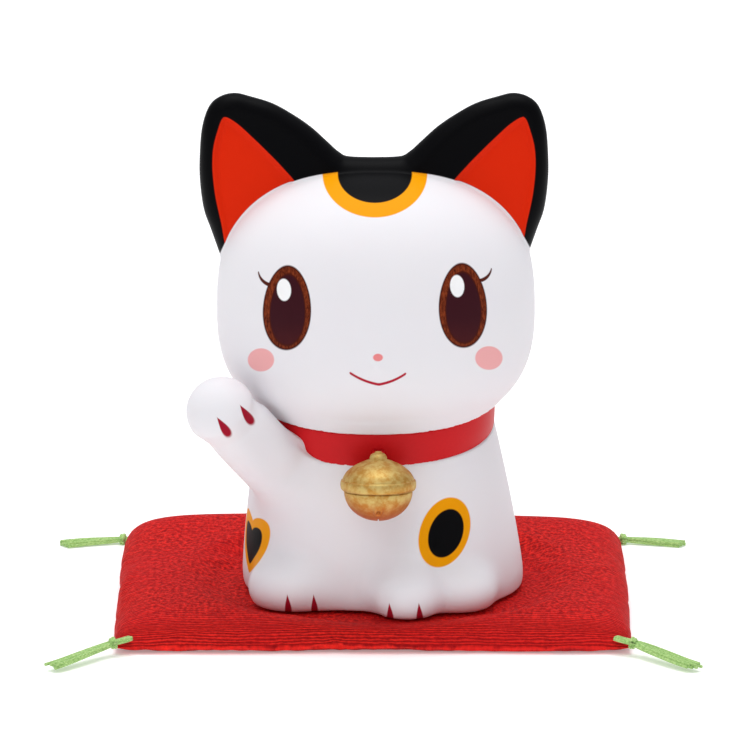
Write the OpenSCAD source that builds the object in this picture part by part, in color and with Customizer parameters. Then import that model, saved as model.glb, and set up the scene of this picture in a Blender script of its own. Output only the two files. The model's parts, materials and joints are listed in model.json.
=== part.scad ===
/* [Cushion] */
// Width of the cushion between its side seams
cushion_w = 107; // [96:0.5:130]
// Depth of the cushion between its front and back seams
cushion_d = 87; // [84:0.5:108]
// Height of the seam between the two covers
seam_z = 2.5; // [2.2:0.1:3.2]
// Height of the plump part of the cushion round the figure
crown_z = 8.9; // [7:0.1:11]
// Height of the hollow that the figure sits in
seat_z = 5; // [4.4:0.1:6]
// Thickness of the crepe covers
cover_t = 0.5; // [0.3:0.05:0.7]
// How far the sides pull in between the corners
side_bow = 0.3; // [0:0.1:1.5]

/* [Tassels] */
// Half thickness of a yarn bundle where it leaves its knot
yarn_r = 0.8; // [0.6:0.05:1.1]
// Half width of a yarn bundle at its cut end
yarn_end_r = 1.4; // [0.9:0.05:1.7]
// Radius of a tassel knot
knot_r = 1.4; // [1.1:0.1:1.6]

/* [Body] */
// Half width of the body at the haunches
body_half_w = 29.9; // [26:0.1:36]
// Half depth of the body at the haunches
body_half_d = 25.6; // [23:0.2:31]
// Half width of the body at the collar
neck_half_w = 24.7; // [22:0.1:29]
// Half depth of the body at the collar
neck_half_d = 22.4; // [20.4:0.1:26]
// Height from the base to the collar's lower edge, at the neck's axis
body_h = 36.6; // [32:0.2:44]
// Forward lean of the neck, which the collar and the head's turn follow
neck_lean = 11; // [6:0.5:14]
// Wall of the hollow vinyl mouldings
wall = 2; // [1.4:0.1:2.6]

/* [Head] */
// Half width of the head at the cheeks
head_half_w = 33.4; // [29:0.2:40]
// Half depth of the head
head_half_d = 28.6; // [26:0.2:34]
// Height of the skull above its widest level
skull_up = 31.4; // [27:0.2:38]
// Depth of the jaw below its widest level
jaw_down = 25.6; // [23:0.2:31]
// Height of the ear tips above the head's widest level
ear_up = 46; // [41:0.2:55.2]
// Half width of the head over the ears
ear_half_w = 36.6; // [33:0.2:44]
// Thickness of an ear from front to back
ear_t = 10.5; // [8:0.5:14]

/* [Neck joint] */
// Radius of the neck tube that the head turns on
neck_r = 11.5; // [9.5:0.25:12.5]
// How far the neck flange reaches past the neck tube
flange_reach = 1.2; // [0.8:0.1:1.6]
// Thickness of the neck flange
flange_t = 1.4; // [1:0.1:2]
// Radial running clearance of the head on the neck tube
neck_fit = 0.08; // [0.04:0.01:0.1]

/* [Raised arm] */
// Radius of the raised paw
paw_r = 7.3; // [6:0.1:8.8]
// Radius of the forearm
arm_r = 6.8; // [5.6:0.1:8.2]
// Air between the paw and the cheek
paw_clear = 1.9; // [1.5:0.1:3]

/* [Collar and bell] */
// Height of the collar band
collar_h = 6.4; // [5:0.1:6.6]
// Thickness of the collar band
collar_t = 1.7; // [1.3:0.1:2]
// Radius of the bell at its rim
bell_r = 7.85; // [6.5:0.05:9.4]
// Height of the bell's dome above its rim
dome_h = 4.9; // [4.4:0.1:6]
// Depth of the bell's bowl below its rim
bowl_h = 6.9; // [5.8:0.1:8.3]
// Wall of the bell shells
bell_wall = 0.6; // [0.4:0.05:0.8]
// Lean of the resting bell, with its top towards the chest
bell_lean = 7; // [0:1:12]
// Radius of the loop that the bell hangs on
loop_r = 0.42; // [0.3:0.02:0.5]
// Radius of the loose pellet in the bell
pellet_r = 1.9; // [1.5:0.1:2.3]

/* [Base plug] */
// Radius of the opening in the base
plug_r = 12; // [9:0.5:15]
// How far the plug's two lips reach past the opening
plug_lip = 1.2; // [0.9:0.1:1.6]

/* [Hidden] */
$fn = 64;
gap = 0.3;          // air between curved faces of different bodies
face_gap = 0.05;    // air between pieces that lie against each other
pin_fit = 0.05;     // radial running clearance of the bell's eye on its loop

// The figure sits in front of the cushion's middle
figure_x = 0.6;
figure_y = -7;
base_z = seat_z + 0.2;
haunch_shift = [1.6, 1.5];
plan_power = 2.3;

// The neck's frame: its origin is on the axis at the collar's lower edge
neck_origin = [figure_x, figure_y, base_z + body_h];
neck_axis = [0, -sin(neck_lean), cos(neck_lean)];
neck_rise = 2.3;                        // flat top of the body above the collar's lower edge
head_floor = neck_rise + gap;           // flat underside of the head
jaw_power = 2.6;
skull_power = 2.15;
head_back = 2.2;                        // the head's middle lies this far behind the axis
head_up = head_floor + 0.875 * jaw_down;
head_origin = neck_origin + neck_axis * head_up + [0, head_back, 0];

// ---------- shared functions ----------

function lerp(a, b, t) = a + (b - a) * t;
function clamp01(t) = min(1, max(0, t));
function smooth(t) = let (c = clamp01(t)) c * c * (3 - 2 * c);
function unit(v) = v / norm(v);
function hill(x, width) = exp(-pow(x / width, 2));
function flipped(list) = [for (i = [len(list) - 1:-1:0]) list[i]];

// Radius of a superellipse at an angle from -Y towards +X
function plan_radius(a, w, d, power) =
    pow(pow(abs(sin(a)) / w, power) + pow(abs(cos(a)) / d, power), -1 / power);
function plan_point(a, r) = [r * sin(a), -r * cos(a)];

// A closed skin over rings of equally many points, counter-clockwise from above, lowest first.
// Past the ring numbered turn the squares are split the other way, so that a list of rings and
// its reverse give the same surface.
module skin(rings, turn = 1000) {
    n = len(rings[0]);
    last = (len(rings) - 1) * n;
    sides = [for (i = [0:n:last - 1], j = [0:n - 1], half = [0, 1])
        let (a = i + j, b = i + (j + 1) % n)
        i < turn * n ? (half == 0 ? [a, a + n, b + n] : [a, b + n, b])
                     : (half == 0 ? [a, a + n, b] : [b, a + n, b + n])];
    caps = [[for (j = [0:n - 1]) j], [for (j = [n - 1:-1:0]) last + j]];
    polyhedron(points = [for (r = rings) each r], faces = concat(sides, caps), convexity = 6);
}

// A round bundle along a path, each ring's height a share of its width
module sweep(path, radii, sides, flats, up) {
    last = len(path) - 1;
    skin([for (i = [0:last])
        let (
            along = unit(path[min(i + 1, last)] - path[max(i - 1, 0)]),
            side = unit(cross(up, along)),
            rise = cross(along, side)
        )
        [for (j = [0:sides - 1])
            let (a = 360 * j / sides)
            path[i] + radii[i] * (cos(a) * side + flats[i] * sin(a) * rise)]]);
}

// ---------- cushion ----------

cushion_sides = 64;
cushion_inset = 2.4;    // width of the seam allowance round the filling
bulge_power = 7.5;
seat_margin = 2;        // flat of the hollow outside the figure's base
ramp = 8;               // width of the slope round the hollow

// Shares of the way from the hollow's flat to the outline, or below 0 inside the flat
top_steps = [-0.9, -0.4, 0, 0.06, 0.12, 0.19, 0.27, 0.36, 0.46, 0.57, 0.68, 0.78, 0.86, 0.93, 0.975, 1];
bottom_steps = [-0.9, 0.3, 0.6, 0.8, 0.92, 1];

// Share of the full bulge, 0 along the seams and 1 well inside them
function bulge(x, y) =
    sqrt(max(0, 1 - pow(abs(2 * x / cushion_w), bulge_power))
        * max(0, 1 - pow(abs(2 * y / cushion_d), bulge_power)));

// Point t of 0 to 4 round the cushion's outline, from the front left corner
function outline(t, inset) =
    let (
        s = 2 * (t - floor(t)) - 1,
        w = cushion_w / 2 - inset,
        d = cushion_d / 2 - inset,
        bow = side_bow * (1 - s * s)
    )
    t < 1 ? [s * w, -d + bow] :
    t < 2 ? [w - bow, s * d] :
    t < 3 ? [-s * w, d - bow] : [-w + bow, -s * d];

// Flat of the hollow under the figure, in the direction of a point of the outline
function seat_point(p) =
    let (
        from = p - body_centre(base_z),
        a = atan2(from[0], -from[1]),
        reach = min(body_radius(a, base_z + 4) + seat_margin, 0.93 * norm(from))
    )
    body_centre(base_z) + plan_point(a, reach);
function cushion_point(p, s) =
    s < 0 ? lerp(seat_point(p), body_centre(base_z), -s) : lerp(seat_point(p), p, s);

// 1 in the hollow under the figure, falling to 0 away from it
function hollow(p, s) = 1 - smooth(max(0, s) * norm(p - seat_point(p)) / ramp);
function top_z(q, sunk) =
    let (full = seam_z + cover_t + (crown_z - seam_z - cover_t) * bulge(q[0], q[1]))
    lerp(full, min(seat_z, full), sunk);
function bottom_z(q) = (seam_z - cover_t) * (1 - clamp01(1.25 * bulge(q[0], q[1])));

// Rings of a cover's outer face, or of a face under it; share below 1 draws them in sideways
function top_rings(inset, drop, share = 1) = [for (s = top_steps)
    [for (j = [0:cushion_sides - 1])
        let (p = outline(4 * j / cushion_sides, inset), q = cushion_point(p, s))
        [share * q[0], share * q[1], top_z(q, hollow(p, s)) - drop]]];
function bottom_rings(inset, lift, share = 1) = [for (s = bottom_steps)
    [for (j = [0:cushion_sides - 1])
        let (p = outline(4 * j / cushion_sides, inset), q = cushion_point(p, s))
        [share * q[0], share * q[1], bottom_z(q) + lift]]];
function seam_ring(inset, z) = [for (j = [0:cushion_sides - 1])
    let (p = outline(4 * j / cushion_sides, inset)) [p[0], p[1], z]];

module cushion_top_cover()
    color("firebrick") skin(concat(
        top_rings(cushion_inset, cover_t),
        [for (inset = [cushion_inset, 0]) seam_ring(inset, seam_z + face_gap / 2)],
        flipped(top_rings(0, 0))), len(top_steps) + 1);

module cushion_bottom_cover()
    color("firebrick") skin(concat(
        bottom_rings(0, 0),
        [for (inset = [0, cushion_inset]) seam_ring(inset, seam_z - face_gap / 2)],
        flipped(bottom_rings(cushion_inset, cover_t))), len(bottom_steps) + 1);

module cushion_filling() {
    share = 1 - 2 * face_gap / cushion_d;
    color("ivory") skin(concat(
        bottom_rings(cushion_inset, cover_t + face_gap, share),
        flipped(top_rings(cushion_inset, cover_t + face_gap, share))), len(bottom_steps));
}

// ---------- tassels ----------

// Steps from the cushion's right-hand corners along each tassel: its tail in the seam, its knot,
// and the bundle out to its cut end
front_route = [
    [-1.3, 1.3, 0], [1.1, -1.0, -0.1], [3.8, -3.8, -0.3], [7.4, -7.8, -0.7], [10.6, -11.2, -1.2], [13.6, -14.2, -1.3]
];
rear_route = [
    [-1.6, -0.9, 0], [1.3, -0.4, -0.5], [4.2, -1.2, -1.0], [7.8, -2.2, -1.5], [11.0, -3.2, -1.6], [13.8, -4.4, -1.6]
];

// A knotted bundle of yarn at a corner, with its tail caught in the seam
module tassel(route, x_side, y_side) {
    corner = [cushion_w / 2, y_side * cushion_d / 2, seam_z];
    path = [for (step = route) corner + step];
    along = unit(path[2] - path[0]);
    knot = [for (a = [-60:30:60]) a];
    bundle = [for (i = [2:len(path) - 1]) i];
    mirror([x_side < 0 ? 1 : 0, 0, 0]) sweep(
        concat([path[0]], [for (a = knot) path[1] + along * knot_r * sin(a)], [for (i = bundle) path[i]]),
        concat([yarn_r], [for (a = knot) knot_r * cos(a)],
            [for (i = bundle) lerp(yarn_r, yarn_end_r, (i - 1) / (len(path) - 2))]),
        10,
        concat([0.6], [for (a = knot) 1], [for (i = bundle) 0.6]),
        [0, 0, 1]);
}

module tassel_front_right() color("lightgreen") tassel(front_route, 1, -1);
module tassel_front_left() color("lightgreen") tassel(front_route, -1, -1);
module tassel_rear_right() color("lightgreen") tassel(rear_route, 1, 1);
module tassel_rear_left() color("lightgreen") tassel(rear_route, -1, 1);

// ---------- body ----------

body_sides = 48;
base_round = [6.5, 3.2];    // height and depth of the rounding at the base

// Angle from the front, reach, spread in degrees, and full and vanishing heights of each paw
foreleg = [9, 6.6, 13, 5, 24];
right_foot = [-35, 5.4, 15, 4, 10];
left_foot = [41, 4.6, 12, 4, 9.5];

function level(z) = clamp01((z - base_z) / body_h);
function body_centre(z) = [figure_x, figure_y] + haunch_shift * (1 - level(z));
function paw_bump(paw, a, z) =
    paw[1] * hill(a - paw[0], paw[2]) * (1 - smooth((z - base_z - paw[3]) / (paw[4] - paw[3])));
function body_radius(a, z) =
    let (
        h = clamp01((z - base_z) / base_round[0]),
        w = lerp(body_half_w, neck_half_w, pow(level(z), 1.35)),
        d = lerp(body_half_d, neck_half_d, pow(level(z), 1.2))
    )
    plan_radius(a, w, d, plan_power)
    + paw_bump(foreleg, a, z) + paw_bump(right_foot, a, z) + paw_bump(left_foot, a, z)
    - base_round[1] * (1 - sqrt(1 - pow(1 - h, 2)));

function body_ring(z, inset, sides) = [for (j = [0:sides - 1])
    let (
        a = 360 * j / sides - 180,
        p = body_centre(z) + plan_point(a, body_radius(a, z) - inset)
    )
    [p[0], p[1], z]];

module torso_skin()
    skin([for (h = [0, 0.6, 1.6, 3.2, 5.2, 7.6, 10, 13, 16.5, 20.5, 25, 31, body_h, body_h + 14])
        body_ring(base_z + h, 0, body_sides)]);

module cavity_skin()
    skin([for (t = [0, 0.05, 0.12, 0.2, 0.32, 0.48, 0.68, 0.9, 1.3])
        body_ring(lerp(base_z + wall, neck_origin[2], t), wall, 32)]);

// Frame of the neck, leaning forwards
module at_neck() translate(neck_origin) rotate([neck_lean, 0, 0]) children();
module at_neck_above(z) at_neck() translate([-60, -60, z]) cube([120, 120, 60]);
module at_neck_below(z) at_neck() translate([-60, -60, z - 60]) cube([120, 120, 60]);

// Outline of the collar in the neck's frame, moved inwards by inset
module neck_outline(inset)
    polygon([for (j = [0:body_sides - 1])
        plan_point(360 * j / body_sides - 180,
            plan_radius(360 * j / body_sides - 180, neck_half_w - inset, neck_half_d - inset, plan_power))]);

module collar_ring(height, outer, inner)
    at_neck() linear_extrude(height) difference() {
        neck_outline(outer);
        neck_outline(inner);
    }

// The body is cut level with the neck's lean, and steps in behind the collar
module torso()
    difference() {
        torso_skin();
        at_neck_above(neck_rise);
        at_neck() linear_extrude(20) difference() {
            square(120, center = true);
            neck_outline(collar_t + face_gap);
        }
    }

module torso_cavity()
    difference() {
        cavity_skin();
        at_neck_above(neck_rise - wall);
        at_neck() translate([0, 0, -wall]) linear_extrude(20) difference() {
            square(120, center = true);
            neck_outline(collar_t + wall);
        }
    }

// How far the head's surface lies from its middle in a direction
function head_reach(dir) =
    let (power = dir[2] < 0 ? jaw_power : skull_power)
    pow(
        pow(pow(abs(dir[0]) / head_half_w, plan_power) + pow(abs(dir[1]) / head_half_d, plan_power),
            power / plan_power)
        + pow(abs(dir[2]) / (dir[2] < 0 ? jaw_down : skull_up), power),
        -1 / power);

// The paw stands off the cheek, and the arm runs from the shoulder to it
paw_dir = unit([-0.757, -0.515, -0.4]);
paw_at = head_origin + paw_dir * (head_reach(paw_dir) + paw_r + paw_clear);
shoulder = neck_origin + [-0.46 * neck_half_w, -0.34 * neck_half_d, -13];
elbow = neck_origin + [-0.86 * neck_half_w, -0.74 * neck_half_d, -7.2];
shoulder_r = arm_r + 2.6;

// Arm centre line from the shoulder through the elbow to the paw, as a smooth curve
function arm_point(t) = (1 - t) * (1 - t) * shoulder + 2 * t * (1 - t) * elbow + t * t * paw_at;

module raised_arm() {
    along = unit(paw_at - elbow);
    arm_steps = [for (t = [0:0.2:0.8]) t];
    ball_steps = [for (a = [-35:25:65]) a];
    sweep(
        concat([for (t = arm_steps) arm_point(t)], [for (a = ball_steps) paw_at + along * paw_r * sin(a)],
            [paw_at + along * paw_r * 0.985]),
        concat([for (t = arm_steps) lerp(shoulder_r, arm_r, smooth(t / 0.7))],
            [for (a = ball_steps) paw_r * cos(a)], [paw_r * 0.17]),
        24, [for (i = [0:len(arm_steps) + len(ball_steps)]) 1], [1, 0, 0]);
}

// Tube and flange that the head turns on
module neck_tube() {
    seat = head_floor + wall + 2 * face_gap;
    at_neck() rotate_extrude() polygon([
        [neck_r - wall, neck_rise - wall / 2],
        [neck_r, neck_rise - wall / 2],
        [neck_r, seat],
        [neck_r + flange_reach, seat],
        [neck_r + flange_reach, seat + flange_t / 2],
        [neck_r, seat + flange_t],
        [neck_r - wall, seat + flange_t]]);
}

plug_at = body_centre(base_z);
lip_depth = 0.9;

module plug_opening()
    translate([plug_at[0], plug_at[1], base_z - 1]) {
        cylinder(r = plug_r, h = wall + 2);
        cylinder(r = plug_r + plug_lip + face_gap, h = 1 + lip_depth);
    }

module body_shell()
    color("white") difference() {
        union() {
            torso();
            raised_arm();
            neck_tube();
        }
        torso_cavity();
        collar_ring(collar_h + 2, -face_gap, collar_t + face_gap);
        at_neck() translate([0, 0, neck_rise - 2 * wall]) cylinder(r = neck_r - wall, h = 3 * wall);
        plug_opening();
    }

// Soft plug: an outer lip in the base's recess, a waist in the opening and a lip inside
module base_plug()
    color("whitesmoke") translate([plug_at[0], plug_at[1], base_z]) rotate_extrude() polygon([
        [0, 0.1],
        [plug_r + plug_lip, 0.1],
        [plug_r + plug_lip, lip_depth - face_gap],
        [plug_r - face_gap, lip_depth - face_gap],
        [plug_r - face_gap, wall + face_gap],
        [plug_r + plug_lip / 2, wall + face_gap],
        [plug_r - face_gap, wall + 1.4],
        [plug_r - 1.5, wall + 1.4],
        [plug_r - 1.5, lip_depth + 0.6],
        [0, lip_depth + 0.6]]);

// ---------- bell ----------

bell_x = figure_x + 0.5;
loop_up = -1.1;         // height of the loop's bar from the neck's origin
rim_drop = 5.7;         // depth of the bell's rim below the bar
knob_r = 2.1;
knob_top = 1;           // top of the knob above the bar
rim_t = 0.65;           // how far the rolled rim stands out
slit_w = 0.7;
slit_end_r = 0.55;

function chest_y(z) = body_centre(z)[1] - body_radius(0, z);
bar_z = neck_origin[2] + loop_up;
bar_y = chest_y(bar_z - rim_drop) - gap - bell_r * cos(bell_lean) + rim_drop * sin(bell_lean);
collar_front = neck_origin[1] - neck_half_d;
leg_x = knob_r + loop_r + gap;

module at_bell() translate([bell_x, bar_y, bar_z]) rotate([-bell_lean, 0, 0]) children();

// The band is threaded by the two legs of the bell's loop
module collar_band()
    color("crimson") difference() {
        collar_ring(collar_h, 0, collar_t);
        for (side = [-1, 1])
            translate([bell_x + side * leg_x, collar_front + collar_t + 1, bar_z])
                rotate([90, 0, 0]) cylinder(r = loop_r + face_gap, h = collar_t + 2);
    }

module bell_loop()
    color("crimson") {
        translate([bell_x - leg_x, bar_y, bar_z]) rotate([0, 90, 0]) cylinder(r = loop_r, h = 2 * leg_x);
        for (side = [-1, 1]) translate([bell_x + side * leg_x, bar_y, bar_z]) {
            sphere(r = loop_r);
            rotate([-90, 0, 0]) cylinder(r = loop_r, h = collar_front + collar_t - bar_y);
        }
    }

function arc(r, h, from, to, steps) =
    [for (i = [0:steps]) let (a = lerp(from, to, i / steps)) [r * cos(a), h * sin(a)]];
function at_rim(points) = [for (p = points) p - [0, rim_drop]];

module bell_upper_shell() {
    inner_r = bell_r - rim_t;
    color("goldenrod") at_bell() difference() {
        union() {
            rotate_extrude() polygon(at_rim(concat(
                [[0, dome_h - bell_wall]],
                flipped(arc(inner_r - bell_wall, dome_h - bell_wall, 12, 84, 8)),
                [[inner_r - bell_wall, 0.85], [inner_r + face_gap, 0.85], [inner_r + face_gap, -0.2]],
                [for (a = [-90:30:90]) [bell_r - 0.35 + 0.35 * cos(a), 0.45 + 0.65 * sin(a)]],
                arc(inner_r, dome_h, 15, 84, 8),
                [[0, dome_h]])));
            translate([0, 0, knob_top - knob_r]) sphere(r = knob_r);
        }
        rotate([0, 90, 0]) cylinder(r = loop_r + pin_fit, h = 3 * knob_r, center = true);
    }
}

module bell_lower_shell() {
    outer_r = bell_r - rim_t;
    slit_y = outer_r * 0.78;
    color("goldenrod") at_bell() difference() {
        rotate_extrude() polygon(at_rim(concat(
            [[outer_r, 0.8]],
            flipped(arc(outer_r, bowl_h, -90, 0, 12)),
            arc(outer_r - bell_wall, bowl_h - bell_wall, -90, 0, 12),
            [[outer_r - bell_wall, 0.8]])));
        translate([-slit_w / 2, -slit_y, -rim_drop - bowl_h - 1]) cube([slit_w, 2 * slit_y, bowl_h]);
        for (side = [-1, 1]) translate([0, side * slit_y, -rim_drop - bowl_h - 1])
            cylinder(r = slit_end_r, h = bowl_h);
    }
}

module bell_pellet()
    color("silver") at_bell()
        translate([0, 0, -rim_drop - bowl_h + bell_wall + gap + pellet_r]) sphere(r = pellet_r);

// ---------- head ----------

head_sides = 44;

function head_share(z, up, down) =
    z < 0 ? pow(1 - pow(-z / down, jaw_power), 1 / jaw_power) : pow(1 - pow(z / up, skull_power), 1 / skull_power);
function head_ring(z, inset, sides) =
    let (share = head_share(z, skull_up - inset, jaw_down - inset))
    [for (j = [0:sides - 1])
        let (
            a = 360 * j / sides,
            p = plan_point(a, plan_radius(a, head_half_w - inset, head_half_d - inset, plan_power) * share)
        )
        [p[0], p[1], z]];

module skull()
    skin(concat(
        [head_ring(-jaw_down * 0.997, 0, head_sides)],
        [for (a = [-72:12:-12]) head_ring(jaw_down * sin(a), 0, head_sides)],
        [for (a = [0:11:77]) head_ring(skull_up * sin(a), 0, head_sides)],
        [head_ring(skull_up * 0.9975, 0, head_sides)]));

module head_cavity()
    skin(concat(
        [head_ring((wall - jaw_down) * 0.99, wall, 28)],
        [for (a = [-66:16:-2]) head_ring((jaw_down - wall) * sin(a), wall, 28)],
        [for (a = [12:14:75]) head_ring((skull_up - wall) * sin(a), wall, 28)],
        [head_ring((skull_up - wall) * 0.995, wall, 28)]));

// An ear is a flattened plate over four round corners: tip, outer side, outer foot and inner foot
module ear() {
    corners = [
        [ear_half_w - 6.9, ear_up - 5.2, 5.2], [ear_half_w - 6.2, ear_up - 15, 6.2],
        [ear_half_w - 7.7, ear_up - 31, 6], [ear_half_w - 20.6, ear_up - 15.6, 8]
    ];
    hull() for (c = corners)
        translate([c[0], 1, c[1]]) scale([1, ear_t / 19, 1]) sphere(r = c[2], $fn = 26);
}

// The head drops over the collar's upper edge, so its underside is turned to clear the band
socket_r = min(neck_half_w, neck_half_d) - collar_t - gap;
collar_reach = max([for (a = [0:3:90]) plan_radius(a, neck_half_w, neck_half_d, plan_power)]);
module collar_groove(inner, outer, top)
    at_neck() translate([0, 0, -1]) difference() {
        cylinder(r = outer, h = top + 1);
        translate([0, 0, -1]) cylinder(r = inner, h = top + 3);
    }

module head_shell()
    color("white") difference() {
        translate(head_origin) {
            skull();
            ear();
            mirror([1, 0, 0]) ear();
        }
        difference() {
            translate(head_origin) head_cavity();
            at_neck_below(head_floor + wall);
            collar_groove(socket_r - wall, 60, collar_h + gap + wall);
        }
        at_neck_below(head_floor);
        collar_groove(socket_r, collar_reach + gap, collar_h + gap);
        at_neck() cylinder(r = neck_r + neck_fit, h = head_floor + 2 * wall);
    }

cushion_top_cover();
cushion_bottom_cover();
cushion_filling();
tassel_front_right();
tassel_front_left();
tassel_rear_right();
tassel_rear_left();
body_shell();
base_plug();
collar_band();
bell_loop();
head_shell();
bell_upper_shell();
bell_lower_shell();
bell_pellet();
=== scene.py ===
"""A beckoning cat figurine on a crepe cushion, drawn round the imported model. Shapes are worked out in
millimetres in the model's frame and put into meshes in metres."""

import json
import bpy
import numpy as np
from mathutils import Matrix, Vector


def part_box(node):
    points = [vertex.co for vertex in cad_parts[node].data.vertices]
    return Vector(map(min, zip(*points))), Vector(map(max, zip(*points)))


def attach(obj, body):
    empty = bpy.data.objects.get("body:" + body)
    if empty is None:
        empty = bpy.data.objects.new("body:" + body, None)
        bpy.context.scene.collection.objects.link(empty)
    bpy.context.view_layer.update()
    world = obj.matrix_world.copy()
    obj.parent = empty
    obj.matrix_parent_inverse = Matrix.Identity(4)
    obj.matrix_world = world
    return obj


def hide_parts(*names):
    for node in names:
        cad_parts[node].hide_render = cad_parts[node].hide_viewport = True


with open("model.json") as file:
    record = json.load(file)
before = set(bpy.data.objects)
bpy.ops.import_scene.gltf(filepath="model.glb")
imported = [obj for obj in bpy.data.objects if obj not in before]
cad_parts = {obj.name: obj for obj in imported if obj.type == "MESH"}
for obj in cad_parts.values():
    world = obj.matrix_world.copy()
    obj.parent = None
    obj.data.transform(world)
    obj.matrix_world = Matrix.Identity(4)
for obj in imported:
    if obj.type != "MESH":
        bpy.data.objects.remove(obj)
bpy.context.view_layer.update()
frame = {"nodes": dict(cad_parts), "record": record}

MM = 1000.0
JOINTS = {j["name"]: j for j in frame["record"]["behaviour"]["joints"]}


def box_mm(node):
    """Lowest and highest corner of a CAD node, in mm."""
    return [np.array(corner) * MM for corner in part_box(node)]


# ---------------------------------------------------------------- view

ELEVATION = np.radians(14.5)
DISTANCE = 2100.0
AIM = np.array([0.1, 11.96, 46.25])
FORWARD = np.array([0, np.cos(ELEVATION), -np.sin(ELEVATION)])
UPWARD = np.array([0, np.sin(ELEVATION), np.cos(ELEVATION)])
EYE = AIM - FORWARD * DISTANCE
VIEW_WIDTH = 158.94


def stencil(p):
    """Across and up on the plane through AIM that faces EYE, where the line from EYE to p crosses it."""
    q = p - EYE
    reach = DISTANCE / (q @ FORWARD)
    return q[:, 0] * reach, (q @ UPWARD) * reach


# ---------------------------------------------------------------- meshes


def piece(name, points, faces, material, body, replaces, slot):
    """A mesh from points in mm and lists or arrays of faces, riding on a body."""
    mesh = bpy.data.meshes.new(name)
    mesh.from_pydata((np.asarray(points) / MM).tolist(), [], [list(map(int, f)) for f in faces])
    mesh.update()
    mesh.shade_smooth()
    mesh.materials.append(material)
    obj = bpy.data.objects.new(name, mesh)
    bpy.context.scene.collection.objects.link(obj)
    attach(obj, body)
    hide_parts(*replaces)
    return obj


def attribute(obj, name, values):
    """A named number or vector at each point of a piece, for its material."""
    values = np.asarray(values, dtype=np.float32)
    kind = "FLOAT" if values.ndim == 1 else "FLOAT_VECTOR"
    field = obj.data.attributes.new(name, kind, "POINT").data
    field.foreach_set("value" if values.ndim == 1 else "vector", values.ravel())


def grid_faces(rows, columns):
    """Faces of a grid of rows whose last column joins the first, rows going up, columns counter-clockwise."""
    i, j = np.meshgrid(np.arange(rows - 1), np.arange(columns), indexing="ij")
    k = (j + 1) % columns
    a, b = i * columns + j, i * columns + k
    return np.stack([a, b, b + columns, a + columns], axis=-1).reshape(-1, 4).tolist()


def closed_grid(rings):
    """Points and faces of rings from lowest to highest, with a face over each end."""
    rings = np.asarray(rings)
    rows, columns = rings.shape[:2]
    faces = grid_faces(rows, columns)
    faces.append(list(range(columns - 1, -1, -1)))
    faces.append(list(range((rows - 1) * columns, rows * columns)))
    return rings.reshape(-1, 3), faces


def tube(path, radii, sides):
    """A round strand along a path: at each point a ring of that radius, across the path."""
    path = np.asarray(path, dtype=float)
    along = np.gradient(path, axis=0)
    along /= np.linalg.norm(along, axis=1)[:, None]
    up = np.where(np.abs(along[:, 2:]) > 0.9, [[1.0, 0, 0]], [[0, 0, 1.0]])
    side = np.cross(along, up)
    side /= np.linalg.norm(side, axis=1)[:, None]
    rise = np.cross(side, along)
    a = np.linspace(0, 2 * np.pi, sides, endpoint=False)
    radii = np.asarray(radii, dtype=float)[:, None, None]
    ring = np.cos(a)[None, :, None] * side[:, None, :] - np.sin(a)[None, :, None] * rise[:, None, :]
    return path[:, None, :] + radii * ring


def joined(parts):
    """One list of points and faces from several."""
    points, faces, count = [], [], 0
    for p, f in parts:
        points.append(p)
        faces += [[i + count for i in face] for face in f]
        count += len(p)
    return np.concatenate(points), faces


def lathe(profile, sides, frame_of):
    """A profile of radius and height turned round the third axis, closed at both ends on the axis."""
    profile = np.asarray(profile, dtype=float)
    a = np.linspace(0, 2 * np.pi, sides, endpoint=False)
    r, h = profile[:, 0][:, None], profile[:, 1][:, None]
    rings = np.stack([r * np.cos(a), r * np.sin(a), np.broadcast_to(h, (len(profile), sides))], axis=-1)
    return closed_grid(frame_of(rings))


def smooth_step(t):
    t = np.clip(t, 0, 1)
    return t * t * (3 - 2 * t)


def smooth_min(a, b, r):
    """The smaller of two distances, with a fillet of about r where they are alike."""
    h = np.clip(0.5 + 0.5 * (b - a) / r, 0, 1)
    return b + (a - b) * h - r * h * (1 - h)


def smooth_max(a, b, r):
    return -smooth_min(-a, -b, r)


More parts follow.
